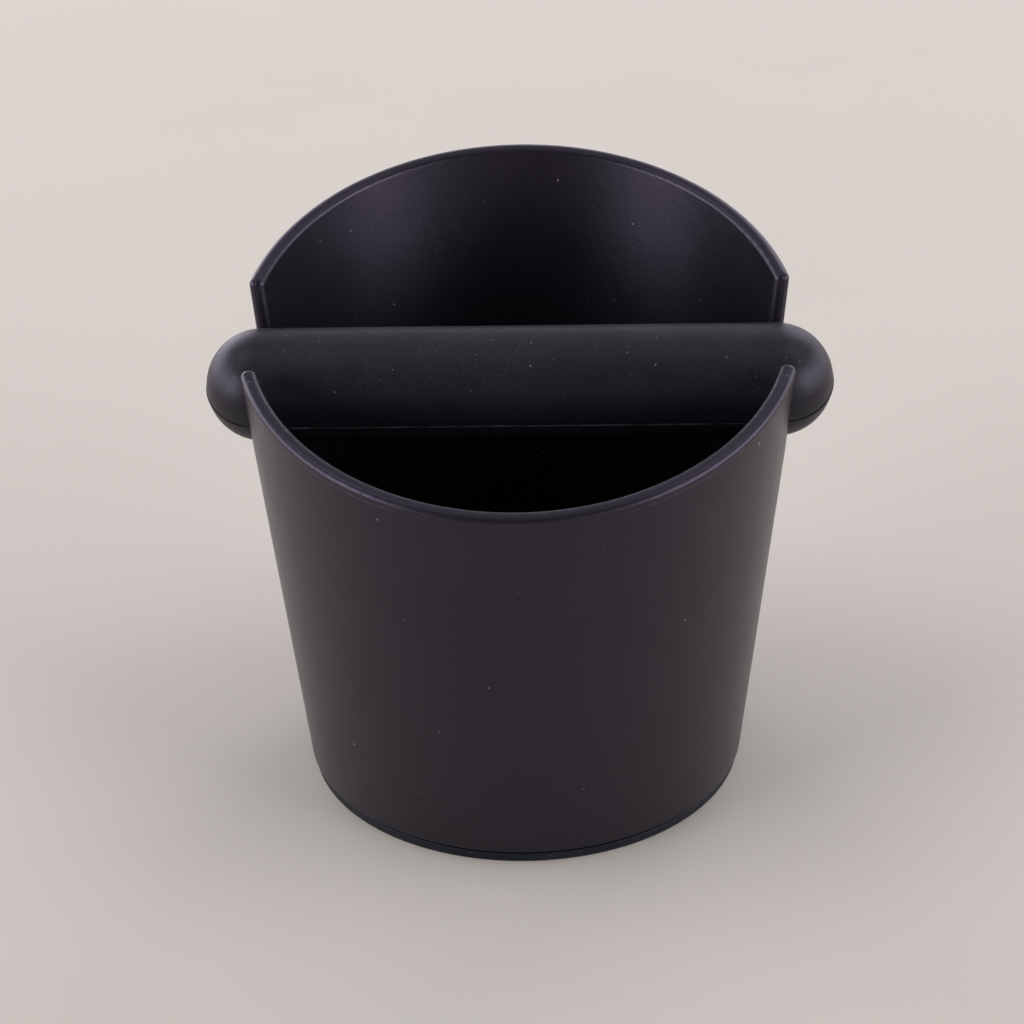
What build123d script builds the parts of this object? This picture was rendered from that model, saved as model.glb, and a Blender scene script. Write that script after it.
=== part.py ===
from build123d import *
import math
import os

# Espresso knock box: an open tapered tub with a slanted rim, a rubber foot pad pressed into its
# underside, and a rubber-covered knock bar whose round ends rest in two open slots in the rim.
# Millimetres. +Z is up, +X runs along the bar, and the rim is lowest at -Y, the user's side.
# The origin is on the tub's own axis, on the surface that the box stands on.

# Tub: one plastic moulding
tub_radius = 65.6  # outside of the wall, where its cone would meet the bench
wall_lean = 6.1  # degrees from upright, opening upwards
wall_thickness = 4.6
floor_thickness = 4.0
hollow_corner_round = 9.0  # between the wall and the floor, inside
rim_height = 140.3  # of the slanted rim, on the tub's axis
front_rim_slope = 15.9  # degrees, rising to the back
back_rim_slope = 16.6
rim_round = 0.43 * wall_thickness  # of the rim's and the slots' edges, which leaves the wall nearly fully round
tub_bottom_round = 0.3

# Slots in the rim that hold the bar
slot_clearance = 0.5  # round the bar, and under it
slot_lean = 4.0  # degrees that each side of a slot leans outwards

# Knock bar
bar_radius = 16.2
bar_overhang = 11.4  # of its round ends, past the tub's outside
bar_drop = 18.8  # of its axis, below the rim's height on the tub's axis
core_radius = 7.0
core_end_cover = 16.0  # of rubber, over each end of the core
core_chamfer = 1.0
core_clearance = 0.05  # between the core and the sleeve that turns on it
seam_height = 0.2  # of the flash line left by the sleeve's mould
seam_width = 0.4
seam_turn = 25.5  # degrees that the seam lies below level, on the user's side

# Foot pad
pad_thickness = 3.8
pad_inset = 0.6  # of its edge, inside the tub's
pad_bottom_round = 0.4
pad_top_round = 0.3
lip_gap = 0.95  # the thin open line round the foot, between the pad's lip and the tub
lip_width = 2.2
tongue_height = 2.6
tongue_width = 4.0
tongue_clearance = 0.1  # each side, in the groove
tongue_top_gap = 1.0
rib_thickness = 2.2  # of the ring under the floor that makes the groove's inner side


def outer_radius(height):
    return tub_radius + height * math.tan(math.radians(wall_lean))


def inner_radius(height):
    return outer_radius(height) - wall_thickness


def turned(*corners):
    """A flat face between these (radius, height) corners, in the plane of the tub's axis."""
    return make_face(Plane.XZ * Polyline(*corners, close=True))


def corner(face, radius, height):
    """The corner of a turned face nearest to this place."""
    return face.vertices().sort_by_distance((radius, 0, height))[0]


# The bar lies across the tub, and its ends stand out past the slots
bar_height = rim_height - bar_drop
bar_length = 2 * (outer_radius(bar_height) + bar_overhang)
core_length = bar_length - 2 * core_end_cover

# The underside: the wall's foot and a ring rib stand on the pad, with the pad's tongue between them
floor_under = pad_thickness + tongue_height + tongue_top_gap
floor_top = floor_under + floor_thickness
groove_outer = inner_radius(pad_thickness)
groove_inner = groove_outer - tongue_width - 2 * tongue_clearance
rib_inner = groove_inner - rib_thickness


def tub_blank():
    """The turned tub, before its rim is cut to shape."""
    top = rim_height + 2 * tub_radius * rim_slope_at(1)
    face = turned(
        (0, floor_under),
        (rib_inner, floor_under),
        (rib_inner, pad_thickness),
        (groove_inner, pad_thickness),
        (groove_inner, floor_under),
        (groove_outer, floor_under),
        (groove_outer, pad_thickness),
        (outer_radius(pad_thickness), pad_thickness),
        (outer_radius(top), top),
        (inner_radius(top), top),
        (inner_radius(floor_top), floor_top),
        (0, floor_top),
    )
    face = fillet(corner(face, inner_radius(floor_top), floor_top), hollow_corner_round)
    face = fillet(corner(face, outer_radius(pad_thickness), pad_thickness), tub_bottom_round)
    return revolve(face, Axis.Z)


def rim_slope_at(side):
    """The rise of the rim per millimetre towards the back: side is -1 at the front, 1 at the back."""
    return math.tan(math.radians(front_rim_slope if side < 0 else back_rim_slope))


def rim_point(y):
    return (y, rim_height + y * rim_slope_at(y))


def slot_corner(side):
    """Where the leaning side of a slot meets the rim."""
    slope = rim_slope_at(side)
    lean = math.radians(slot_lean)
    radius = bar_radius + slot_clearance
    rise = rim_height + side * slope * radius * math.cos(lean) - bar_height + radius * math.sin(lean)
    along = rise / (math.cos(lean) - side * slope * math.sin(lean))
    return rim_point(side * (radius * math.cos(lean) + along * math.sin(lean)))


def above_rim():
    """All that is cut away above the rim, with the slots, right across the tub."""
    radius = bar_radius + slot_clearance
    reach = 2 * tub_radius
    lean = math.radians(slot_lean)
    front, back = slot_corner(-1), slot_corner(1)
    side_y = radius * math.cos(lean)
    side_z = bar_height - radius * math.sin(lean)
    sky = rim_height + reach
    outline = Polyline(
        (-side_y, side_z), front, rim_point(-reach), (-reach, sky), (reach, sky),
        rim_point(reach), back, (side_y, side_z),
    )
    slot_foot = CenterArc((0, bar_height), radius, 180 + slot_lean, 180 - 2 * slot_lean)
    return extrude(make_face(Plane.YZ * (outline + slot_foot)), reach, both=True)


def is_rounded(edge):
    """Whether an edge of the cut tub is one of the rim's or the slots'."""
    middle = edge @ 0.5
    if middle.Z < bar_height - 2 * bar_radius:
        return False
    across_wall = edge.geom_type == GeomType.LINE and middle.Z > bar_height
    reach = math.hypot(middle.X, middle.Y)
    off_wall = min(abs(reach - outer_radius(middle.Z)), abs(reach - inner_radius(middle.Z)))
    return across_wall or off_wall < wall_thickness / 10


def make_tub():
    """The cut tub, with all the edges of its rim and slots rounded in one step."""
    body = (tub_blank() - above_rim()).solid()
    return fillet(body.edges().filter_by(is_rounded), rim_round)


def make_foot_pad():
    """The rubber disc under the tub, with the round tongue that presses into the groove."""
    edge_bottom = outer_radius(0) - pad_inset
    lip_top = pad_thickness - lip_gap
    edge_top = outer_radius(lip_top) - pad_inset
    tongue_outer = groove_outer - tongue_clearance
    tongue_inner = groove_inner + tongue_clearance
    tongue_top = pad_thickness + tongue_height
    face = turned(
        (0, 0),
        (edge_bottom, 0),
        (edge_top, lip_top),
        (edge_top - lip_width, lip_top),
        (edge_top - lip_width, pad_thickness),
        (tongue_outer, pad_thickness),
        (tongue_outer, tongue_top),
        (tongue_inner, tongue_top),
        (tongue_inner, pad_thickness),
        (0, pad_thickness),
    )
    face = fillet(corner(face, edge_bottom, 0), pad_bottom_round)
    face = fillet(corner(face, edge_top, lip_top), pad_top_round)
    face = chamfer(corner(face, tongue_outer, tongue_top), tongue_width / 8)
    face = chamfer(corner(face, tongue_inner, tongue_top), tongue_width / 8)
    return revolve(face, Axis.Z)


def bar_rod(radius, length):
    """A plain rod on the bar's axis."""
    return Plane.YZ.offset(-length / 2) * Pos(0, bar_height) * extrude(Circle(radius), length)


def make_bar_core():
    rod = bar_rod(core_radius, core_length)
    return chamfer(rod.edges().filter_by(GeomType.CIRCLE), core_chamfer)


def make_bar_sleeve():
    """The rubber over the core: a round-ended bar, closed at both ends, with its mould's seam."""
    end_x = bar_length / 2 - bar_radius
    axis = Pos(0, 0, bar_height)
    sleeve = bar_rod(bar_radius, 2 * end_x)
    for side in (-1, 1):
        sleeve += Pos(side * end_x, 0, bar_height) * Sphere(bar_radius)
    seam_outline = SlotOverall(bar_length + 2 * seam_height, 2 * (bar_radius + seam_height))
    seam = extrude(seam_outline, seam_width / 2, both=True)
    sleeve += axis * Rot(X=seam_turn) * seam
    return sleeve - bar_rod(core_radius + core_clearance, core_length + 2 * core_clearance)


parts = {
    "tub": make_tub(),
    "foot_pad": make_foot_pad(),
    "bar_core": make_bar_core(),
    "bar_sleeve": make_bar_sleeve(),
}

os.makedirs("parts", exist_ok=True)
for name, solid in parts.items():
    export_step(solid, f"parts/{name}.step")
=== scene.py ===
import math

import bpy
from mathutils import Matrix, Vector

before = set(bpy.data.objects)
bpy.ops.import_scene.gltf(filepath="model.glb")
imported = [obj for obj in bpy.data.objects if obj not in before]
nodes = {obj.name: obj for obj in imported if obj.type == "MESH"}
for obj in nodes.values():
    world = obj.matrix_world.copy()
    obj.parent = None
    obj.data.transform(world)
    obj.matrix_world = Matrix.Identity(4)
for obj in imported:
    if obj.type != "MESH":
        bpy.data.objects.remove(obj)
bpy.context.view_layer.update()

scene = bpy.context.scene


# ---- Tub ----------------------------------------------------------------------------------
# One injection moulding in black plastic, with the fine satin grain of a spark-eroded mould and a
# smooth rim. The mould parts just under the rim, and its inserts meet in the slots, so fine
# hairlines run round the outside, across the rim's front ends and down the slots.

rim_height = 0.1403  # of the slanted rim, on the tub's axis
front_rim_slope = math.tan(math.radians(15.9))
back_rim_slope = math.tan(math.radians(16.6))
tub_radius = 0.0656  # outside, where the wall's cone would meet the bench
wall_spread = math.tan(math.radians(6.1))  # how much the radius grows per metre of height
wall_thickness = 0.0046
parting_depth = 0.0026  # of the hairline, below the rim
insert_end = 0.0235  # from the bar's axis to the hairline across the rim's front ends
slot_side = 0.0175  # from the bar's axis to a slot's back side
slot_side_reach = (0.003, 0.002)  # either side of it, where its hairline fades out
smooth_from = (0.085, 0.095)  # heights between which the edges' smoothness begins
hairline_width = 0.0003
hairline_depth = 0.00006
tub_grain_depth = 0.00008
smooth_roughness = 0.36  # of the rim and the slots
tub_roughness = (0.29, 0.33)
tub_black = (0.0075, 0.0062, 0.0080)
tub_charcoal = (0.0105, 0.0088, 0.0112)
tub_dust = (0.34, 0.33, 0.34)


def add(tree, kind, **settings):
    """A new node in this tree, with its own settings."""
    node = tree.nodes.new(kind)
    for name, value in settings.items():
        setattr(node, name, value)
    return node


def feed(tree, socket, value):
    """Gives a socket a plain value, or another node's output."""
    if isinstance(value, bpy.types.NodeSocket):
        tree.links.new(value, socket)
    else:
        socket.default_value = value


def calc(tree, operation, *values):
    """The output of a Math node."""
    node = add(tree, "ShaderNodeMath", operation=operation)
    for socket, value in zip(node.inputs, values):
        feed(tree, socket, value)
    return node.outputs[0]


def ramp(tree, value, start, end, low=0.0, high=1.0):
    """Goes smoothly from low to high while value goes from start to end."""
    node = add(tree, "ShaderNodeMapRange", interpolation_type="SMOOTHSTEP")
    for name, given in (("Value", value), ("From Min", start), ("From Max", end)):
        feed(tree, node.inputs[name], given)
    node.inputs["To Min"].default_value = low
    node.inputs["To Max"].default_value = high
    return node.outputs["Result"]


def tint(tree, mask, first, second):
    """The first colour where the mask is 0, and the second where it is 1."""
    node = add(tree, "ShaderNodeMix", data_type="RGBA")
    feed(tree, node.inputs["Factor"], mask)
    for name, colour in (("A", first), ("B", second)):
        socket = [s for s in node.inputs if s.name == name and s.type == "RGBA"][0]
        feed(tree, socket, (*colour, 1) if isinstance(colour, tuple) else colour)
    return [s for s in node.outputs if s.type == "RGBA"][0]


def place(tree):
    """The x, y and z of a point on the piece, in metres, and its place as a vector."""
    coordinates = add(tree, "ShaderNodeTexCoord")
    split = add(tree, "ShaderNodeSeparateXYZ")
    tree.links.new(coordinates.outputs["Object"], split.inputs[0])
    return split.outputs[0], split.outputs[1], split.outputs[2], coordinates.outputs["Object"]


def noise(tree, where, scale, detail=2.0, roughness=0.5):
    node = add(tree, "ShaderNodeTexNoise")
    tree.links.new(where, node.inputs["Vector"])
    feed(tree, node.inputs["Scale"], scale)
    node.inputs["Detail"].default_value = detail
    node.inputs["Roughness"].default_value = roughness
    return node.outputs["Fac"]


def new_group(name, inputs, outputs):
    """An empty shader node group with these named values."""
    group = bpy.data.node_groups.new(name, "ShaderNodeTree")
    for label, value in inputs.items():
        socket = group.interface.new_socket(label, in_out="INPUT", socket_type="NodeSocketFloat")
        socket.default_value = value
    for label in outputs:
        group.interface.new_socket(label, in_out="OUTPUT", socket_type="NodeSocketFloat")
    return group, add(group, "NodeGroupInput"), add(group, "NodeGroupOutput")


def put_group(tree, group, **values):
    """A node that places a group in a material, with its own values."""
    node = add(tree, "ShaderNodeGroup", node_tree=group)
    for label, value in values.items():
        feed(tree, node.inputs[label.replace("_", " ")], value)
    return node


def make_moulded_grain():
    """The pebbled skin that spark-eroded steel leaves on plastic and rubber."""
    tree, given, result = new_group(
        "moulded grain", {"Grains per metre": 2400.0, "Blotches per metre": 45.0}, ["Height", "Blotch"]
    )
    where = place(tree)[3]
    fine = noise(tree, where, given.outputs["Grains per metre"], 3.0, 0.62)
    pits = add(tree, "ShaderNodeTexVoronoi")
    tree.links.new(where, pits.inputs["Vector"])
    feed(tree, pits.inputs["Scale"], given.outputs["Grains per metre"])
    rounded = calc(tree, "MULTIPLY", pits.outputs["Distance"], 0.45)
    height = calc(tree, "ADD", calc(tree, "MULTIPLY", fine, 0.75), rounded)
    blotch = noise(tree, where, given.outputs["Blotches per metre"], 4.0, 0.6)
    tree.links.new(height, result.inputs["Height"])
    tree.links.new(blotch, result.inputs["Blotch"])
    return tree


def make_dust():
    """Pale specks that have settled on a surface, and a thin powder between them."""
    tree, given, result = new_group(
        "dust",
        {"Specks": 0.1, "Cells per metre": 350.0, "Powder": 0.3, "Lying": 0.0},
        ["Speck", "Film"],
    )
    where = place(tree)[3]
    cells = add(tree, "ShaderNodeTexVoronoi")
    tree.links.new(where, cells.inputs["Vector"])
    feed(tree, cells.inputs["Scale"], given.outputs["Cells per metre"])
    random = add(tree, "ShaderNodeSeparateColor")
    tree.links.new(cells.outputs["Color"], random.inputs[0])
    taken = calc(tree, "LESS_THAN", random.outputs[0], given.outputs["Specks"])
    squared = calc(tree, "MULTIPLY", random.outputs[1], random.outputs[1])
    size = calc(tree, "MULTIPLY_ADD", squared, 0.12, 0.04)
    inside = ramp(tree, calc(tree, "DIVIDE", cells.outputs["Distance"], size), 1.0, 0.5)
    speck = calc(tree, "MULTIPLY", taken, inside)
    strength = calc(tree, "MULTIPLY_ADD", random.outputs[2], 0.75, 0.25)
    facing = add(tree, "ShaderNodeTexCoord")
    up = add(tree, "ShaderNodeSeparateXYZ")
    tree.links.new(facing.outputs["Normal"], up.inputs[0])
    level = ramp(tree, up.outputs[2], -0.3, 0.7)
    settled = calc(tree, "MAXIMUM", level, calc(tree, "SUBTRACT", 1.0, given.outputs["Lying"]))
    speck = calc(tree, "MULTIPLY", calc(tree, "MULTIPLY", speck, strength), settled)
    grit = ramp(tree, noise(tree, where, 2600.0, 2.0, 0.6), 0.50, 0.72)
    patches = ramp(tree, noise(tree, where, 34.0, 3.0, 0.6), 0.38, 0.64)
    film = calc(tree, "MULTIPLY", calc(tree, "MULTIPLY", grit, patches), settled)
    film = calc(tree, "MULTIPLY", film, given.outputs["Powder"])
    tree.links.new(speck, result.inputs["Speck"])
    tree.links.new(film, result.inputs["Film"])
    return tree


def new_material(name):
    """A node material and its Principled shader."""
    material = bpy.data.materials.new(name)
    material.use_nodes = True
    return material, material.node_tree, material.node_tree.nodes["Principled BSDF"]


def bump(tree, height, distance, strength=1.0, under=None):
    node = add(tree, "ShaderNodeBump")
    feed(tree, node.inputs["Height"], height)
    node.inputs["Distance"].default_value = distance
    node.inputs["Strength"].default_value = strength
    if under is not None:
        tree.links.new(under, node.inputs["Normal"])
    return node.outputs["Normal"]


def dress(name, material):
    """Gives a CAD node its finished material."""
    piece = nodes[name]
    piece.data.materials.clear()
    piece.data.materials.append(material)


moulded_grain = make_moulded_grain()
dust = make_dust()


def make_tub_plastic():
    material, tree, shader = new_material("black plastic")
    x, y, z = place(tree)[:3]

    # How far a point is below the rim, and how squarely its surface faces out of or into the tub
    front = calc(tree, "MULTIPLY", calc(tree, "MINIMUM", y, 0.0), front_rim_slope)
    back = calc(tree, "MULTIPLY", calc(tree, "MAXIMUM", y, 0.0), back_rim_slope)
    below = calc(tree, "SUBTRACT", calc(tree, "ADD", calc(tree, "ADD", front, back), rim_height), z)
    outwards = add(tree, "ShaderNodeCombineXYZ")
    tree.links.new(x, outwards.inputs[0])
    tree.links.new(y, outwards.inputs[1])
    unit = add(tree, "ShaderNodeVectorMath", operation="NORMALIZE")
    tree.links.new(outwards.outputs[0], unit.inputs[0])
    facing = add(tree, "ShaderNodeTexCoord")
    square = add(tree, "ShaderNodeVectorMath", operation="DOT_PRODUCT")
    tree.links.new(unit.outputs[0], square.inputs[0])
    tree.links.new(facing.outputs["Normal"], square.inputs[1])
    wall = ramp(tree, calc(tree, "ABSOLUTE", square.outputs["Value"]), 0.86, 0.98)
    high = ramp(tree, z, *smooth_from)
    smooth = calc(tree, "MULTIPLY", calc(tree, "SUBTRACT", 1.0, wall), high)

    # The mould's hairlines: round the outside, across the rim's front ends, and down the slots
    def hairline(away, where_seen):
        off_line = calc(tree, "ABSOLUTE", away)
        on_line = ramp(tree, off_line, hairline_width, hairline_width / 4)
        return calc(tree, "MULTIPLY", on_line, where_seen)

    outside = ramp(tree, square.outputs["Value"], 0.5, 0.9)
    parting = hairline(calc(tree, "SUBTRACT", below, parting_depth), outside)
    across = hairline(calc(tree, "ADD", y, insert_end), smooth)
    length = add(tree, "ShaderNodeVectorMath", operation="LENGTH")
    tree.links.new(outwards.outputs[0], length.inputs[0])
    middle = calc(tree, "MULTIPLY_ADD", z, wall_spread, tub_radius - wall_thickness / 2)
    off_side = calc(tree, "ABSOLUTE", calc(tree, "SUBTRACT", y, slot_side))
    in_slot = calc(tree, "MULTIPLY", smooth, ramp(tree, off_side, *slot_side_reach))
    down = hairline(calc(tree, "SUBTRACT", length.outputs["Value"], middle), in_slot)
    line = calc(tree, "MAXIMUM", parting, calc(tree, "MAXIMUM", across, down))

    grain = put_group(tree, moulded_grain, Grains_per_metre=2900.0, Blotches_per_metre=38.0)
    specks = put_group(tree, dust, Specks=0.12, Cells_per_metre=350.0, Powder=0.0, Lying=0.0)
    plastic = tint(tree, grain.outputs["Blotch"], tub_black, tub_charcoal)
    dusty = tint(tree, specks.outputs["Speck"], plastic, tub_dust)
    tree.links.new(dusty, shader.inputs["Base Color"])
    satin = ramp(tree, grain.outputs["Blotch"], 0.3, 0.7, *tub_roughness)
    skin = calc(tree, "MULTIPLY_ADD", grain.outputs["Height"], 0.10, calc(tree, "SUBTRACT", satin, 0.06))
    rough = add(tree, "ShaderNodeMix", data_type="FLOAT")
    feed(tree, rough.inputs[0], smooth)
    feed(tree, rough.inputs[2], skin)
    rough.inputs[3].default_value = smooth_roughness
    tree.links.new(rough.outputs[0], shader.inputs["Roughness"])
    rise = calc(tree, "MULTIPLY", grain.outputs["Height"], calc(tree, "SUBTRACT", 1.0, smooth))
    skinned = bump(tree, rise, tub_grain_depth, 0.9)
    parted = bump(tree, calc(tree, "SUBTRACT", 1.0, line), hairline_depth, 1.0, skinned)
    tree.links.new(parted, shader.inputs["Normal"])
    shader.inputs["Specular Tint"].default_value = (0.86, 0.80, 1.0, 1)
    shader.inputs["Specular IOR Level"].default_value = 0.4
    return material


dress("tub", make_tub_plastic())


# ---- Foot pad -----------------------------------------------------------------------------
# A disc of soft black rubber under the tub, which keeps the box from sliding and takes the
# knocks. It is compression moulded, and its round tongue is pressed into the tub's groove.

foot_grain_depth = 0.00006
foot_roughness = (0.42, 0.62)
foot_black = (0.0045, 0.0052, 0.0068)
foot_charcoal = (0.009, 0.0105, 0.0135)
foot_film = (0.12, 0.14, 0.15)
foot_dust = (0.4, 0.42, 0.44)


def make_foot_rubber():
    material, tree, shader = new_material("foot rubber")
    grain = put_group(tree, moulded_grain, Grains_per_metre=1900.0, Blotches_per_metre=120.0)
    specks = put_group(tree, dust, Specks=0.6, Cells_per_metre=900.0, Powder=0.3, Lying=0.0)
    rubber = tint(tree, grain.outputs["Blotch"], foot_black, foot_charcoal)
    dusty = tint(tree, specks.outputs["Film"], rubber, foot_film)
    flecked = tint(tree, specks.outputs["Speck"], dusty, foot_dust)
    tree.links.new(flecked, shader.inputs["Base Color"])
    rough = ramp(tree, grain.outputs["Height"], 0.2, 0.9, *foot_roughness)
    tree.links.new(rough, shader.inputs["Roughness"])
    tree.links.new(bump(tree, grain.outputs["Height"], foot_grain_depth, 0.8), shader.inputs["Normal"])
    shader.inputs["Specular IOR Level"].default_value = 0.26
    shader.inputs["Specular Tint"].default_value = (0.8, 0.85, 1.0, 1)
    return material


dress("foot_pad", make_foot_rubber())


# ---- Steel core ---------------------------------------------------------------------------
# The rod inside the knock bar, turned from bright mild steel, with chamfered ends. It only
# shows if the rubber is taken off.

turning_grooves = (9000.0, 60.0, 60.0)  # noise cells per metre, along the rod and across it
turning_depth = 0.00002
steel_dark = (0.42, 0.42, 0.43)
steel_bright = (0.60, 0.60, 0.61)


def make_core_steel():
    material, tree, shader = new_material("turned steel")
    where = place(tree)[3]
    stretched = add(tree, "ShaderNodeMapping")
    stretched.inputs["Scale"].default_value = turning_grooves
    tree.links.new(where, stretched.inputs["Vector"])
    turning = noise(tree, stretched.outputs[0], 1.0, 2.0, 0.5)
    steel = tint(tree, turning, steel_dark, steel_bright)
    tree.links.new(steel, shader.inputs["Base Color"])
    tree.links.new(ramp(tree, turning, 0.3, 0.7, 0.26, 0.40), shader.inputs["Roughness"])
    tree.links.new(bump(tree, turning, turning_depth, 0.5), shader.inputs["Normal"])
    shader.inputs["Metallic"].default_value = 1.0
    return material


dress("bar_core", make_core_steel())


# ---- Rubber sleeve ------------------------------------------------------------------------
# The knock bar's cover, moulded round the core in a two-part mould, round-ended and closed.
# The halves of the mould meet in a thin flash line, and coffee dust sticks to the dry rubber.

bar_height = 0.1215
seam_turn = math.radians(25.5)
flash_edges = (0.00032, 0.00018)  # from the seam, where the pale flash line, partly a painted highlight, fades out
groove_edges = (0.0006, 0.0002)  # and the shallow dip on each side of it
straight_part = (0.080, 0.074)  # from the middle of the bar, where the painted highlight and wear on the flash fade out
groove_depth = 0.00015
bar_grain_depth = 0.00003
bar_roughness = (0.33, 0.47)
bar_black = (0.0080, 0.0072, 0.0092)
bar_charcoal = (0.0130, 0.0118, 0.0150)
bar_film = (0.10, 0.10, 0.11)
bar_dust = (0.34, 0.34, 0.35)
flash_glint_and_wear = (0.12, 0.115, 0.125)


def make_bar_rubber():
    material, tree, shader = new_material("bar rubber")
    x, y, z, where = place(tree)

    # How far a point is above the plane where the two halves of the mould meet
    raised = calc(tree, "MULTIPLY", calc(tree, "SUBTRACT", z, bar_height), math.cos(seam_turn))
    off_seam = calc(tree, "SUBTRACT", raised, calc(tree, "MULTIPLY", y, math.sin(seam_turn)))
    flash = ramp(tree, calc(tree, "ABSOLUTE", off_seam), *flash_edges)
    straight = ramp(tree, calc(tree, "ABSOLUTE", x), *straight_part)
    groove = ramp(tree, calc(tree, "ABSOLUTE", off_seam), *groove_edges)

    grain = put_group(tree, moulded_grain, Grains_per_metre=2600.0, Blotches_per_metre=55.0)
    specks = put_group(tree, dust, Specks=0.5, Cells_per_metre=650.0, Powder=0.3, Lying=0.9)
    rubber = tint(tree, grain.outputs["Blotch"], bar_black, bar_charcoal)
    dusty = tint(tree, specks.outputs["Film"], rubber, bar_film)
    flecked = tint(tree, specks.outputs["Speck"], dusty, bar_dust)
    # The flash line is painted paler along the straight part: partly a painted highlight where the flash
    # catches the light, partly worn and dusty flash
    patchy = ramp(tree, noise(tree, where, 160.0, 2.0, 0.6), 0.35, 0.65, 0.1, 0.6)
    glint_and_wear_mask = calc(tree, "MULTIPLY", calc(tree, "MULTIPLY", flash, straight), patchy)
    lined = tint(tree, glint_and_wear_mask, flecked, flash_glint_and_wear)
    tree.links.new(lined, shader.inputs["Base Color"])
    rough = ramp(tree, grain.outputs["Height"], 0.2, 0.9, *bar_roughness)
    tree.links.new(rough, shader.inputs["Roughness"])
    skinned = bump(tree, grain.outputs["Height"], bar_grain_depth, 0.8)
    parted = bump(tree, calc(tree, "SUBTRACT", 1.0, groove), groove_depth, 1.0, skinned)
    tree.links.new(parted, shader.inputs["Normal"])
    shader.inputs["Specular IOR Level"].default_value = 0.27
    shader.inputs["Specular Tint"].default_value = (0.92, 0.88, 1.0, 1)
    return material


dress("bar_sleeve", make_bar_rubber())


# ---- The surface it stands on -------------------------------------------------------------
# A plain pale worktop that goes on past every view. Far from the lights it glows faintly, so that
# it stays as pale there as the backdrop behind it.

worktop_half = 20.0
worktop_darker = (0.60, 0.58, 0.475)
worktop_paler = (0.63, 0.61, 0.50)
glow_reach = (2.0, 6.0)  # from the box, between which the glow comes up
far_glow = (0.46, 0.445, 0.41)
unlit = (0.0, 0.0, 0.0)


def make_worktop():
    mesh = bpy.data.meshes.new("worktop")
    sides = ((-1, -1), (1, -1), (1, 1), (-1, 1))
    corners = [(x * worktop_half, y * worktop_half, 0) for x, y in sides]
    mesh.from_pydata(corners, [], [(0, 1, 2, 3)])
    worktop = bpy.data.objects.new("worktop", mesh)
    scene.collection.objects.link(worktop)
    material, tree, shader = new_material("pale worktop")
    where = place(tree)[3]
    shade = tint(tree, noise(tree, where, 7.0, 3.0, 0.5), worktop_darker, worktop_paler)
    tree.links.new(shade, shader.inputs["Base Color"])
    away = add(tree, "ShaderNodeVectorMath", operation="LENGTH")
    tree.links.new(where, away.inputs[0])
    far = ramp(tree, away.outputs["Value"], *glow_reach)
    tree.links.new(tint(tree, far, unlit, far_glow), shader.inputs["Emission Color"])
    shader.inputs["Emission Strength"].default_value = 1.0
    shader.inputs["Roughness"].default_value = 0.8
    shader.inputs["Specular IOR Level"].default_value = 0.0
    mesh.materials.append(material)


make_worktop()


# ---- Light and camera ---------------------------------------------------------------------
# A soft light tent of large square softboxes, most of them low down round the box, each of them
# given by its azimuth and elevation in degrees and its power in watts.

light_reach = 3.0
light_size = 1.4
light_colour = (0.906, 0.86, 1.0)
aim = Vector((0, 0, 0.08))

softboxes = {
    "front left": (210, 13, 56.0),
    "front right": (330, 13, 51.0),
    "low left": (180, 13, 27.0),
    "low right": (0, 13, 29.0),
    "back left": (120, 13, 22.7),
    "back": (90, 13, 14.8),
    "far left": (150, 13, 26.0),
    "far right": (30, 13, 16.0),
    "back right": (60, 13, 9.0),
    "near front right": (300, 13, 4.9),
    "raised back right": (60, 35, 17.6),
    "raised back left": (120, 35, 6.1),
    "high left": (180, 60, 16.5),
    "high right": (0, 60, 13.6),
    "high back": (90, 60, 5.0),
    "high front": (270, 60, 3.0),
    "overhead": (0, 89.9, 4.3),
}
for name, (azimuth, elevation, power) in softboxes.items():
    turn = math.radians(azimuth)
    lift = math.radians(elevation)
    way = Vector((math.cos(turn) * math.cos(lift), math.sin(turn) * math.cos(lift), math.sin(lift)))
    light = bpy.data.lights.new(name, "AREA")
    light.shape = "SQUARE"
    light.size = light_size
    light.energy = power
    light.color = light_colour
    lamp = bpy.data.objects.new(name, light)
    scene.collection.objects.link(lamp)
    facing = way.to_track_quat("Z", "Y").to_matrix().to_4x4()
    lamp.matrix_world = Matrix.Translation(aim + way * light_reach) @ facing
    lamp.visible_camera = False

sky = bpy.data.worlds.new("studio")
scene.world = sky
sky.use_nodes = True
backdrop = sky.node_tree.nodes["Background"]
backdrop.inputs["Color"].default_value = (0.50, 0.485, 0.45, 1)

# The backdrop is pale where it is seen, and lights the box only faintly
seen = add(sky.node_tree, "ShaderNodeLightPath").outputs["Is Camera Ray"]
feed(sky.node_tree, backdrop.inputs["Strength"], calc(sky.node_tree, "MULTIPLY_ADD", seen, 0.98, 0.02))

lens = bpy.data.cameras.new("camera")
lens.lens = 87.89
lens.sensor_width = 36
lens.clip_start = 0.05
camera = bpy.data.objects.new("camera", lens)
scene.collection.objects.link(camera)
stand = Vector((0.01424, -0.65246, 0.42446))
looking_at = Vector((-0.00286, -0.00035, 0.07936))
level = (stand - looking_at).to_track_quat("Z", "Y").to_matrix()
tilt = Matrix.Rotation(math.radians(-1.25), 3, "Z")
camera.matrix_world = Matrix.Translation(stand) @ (level @ tilt).to_4x4()
scene.camera = camera
scene.view_settings.view_transform = "Standard"
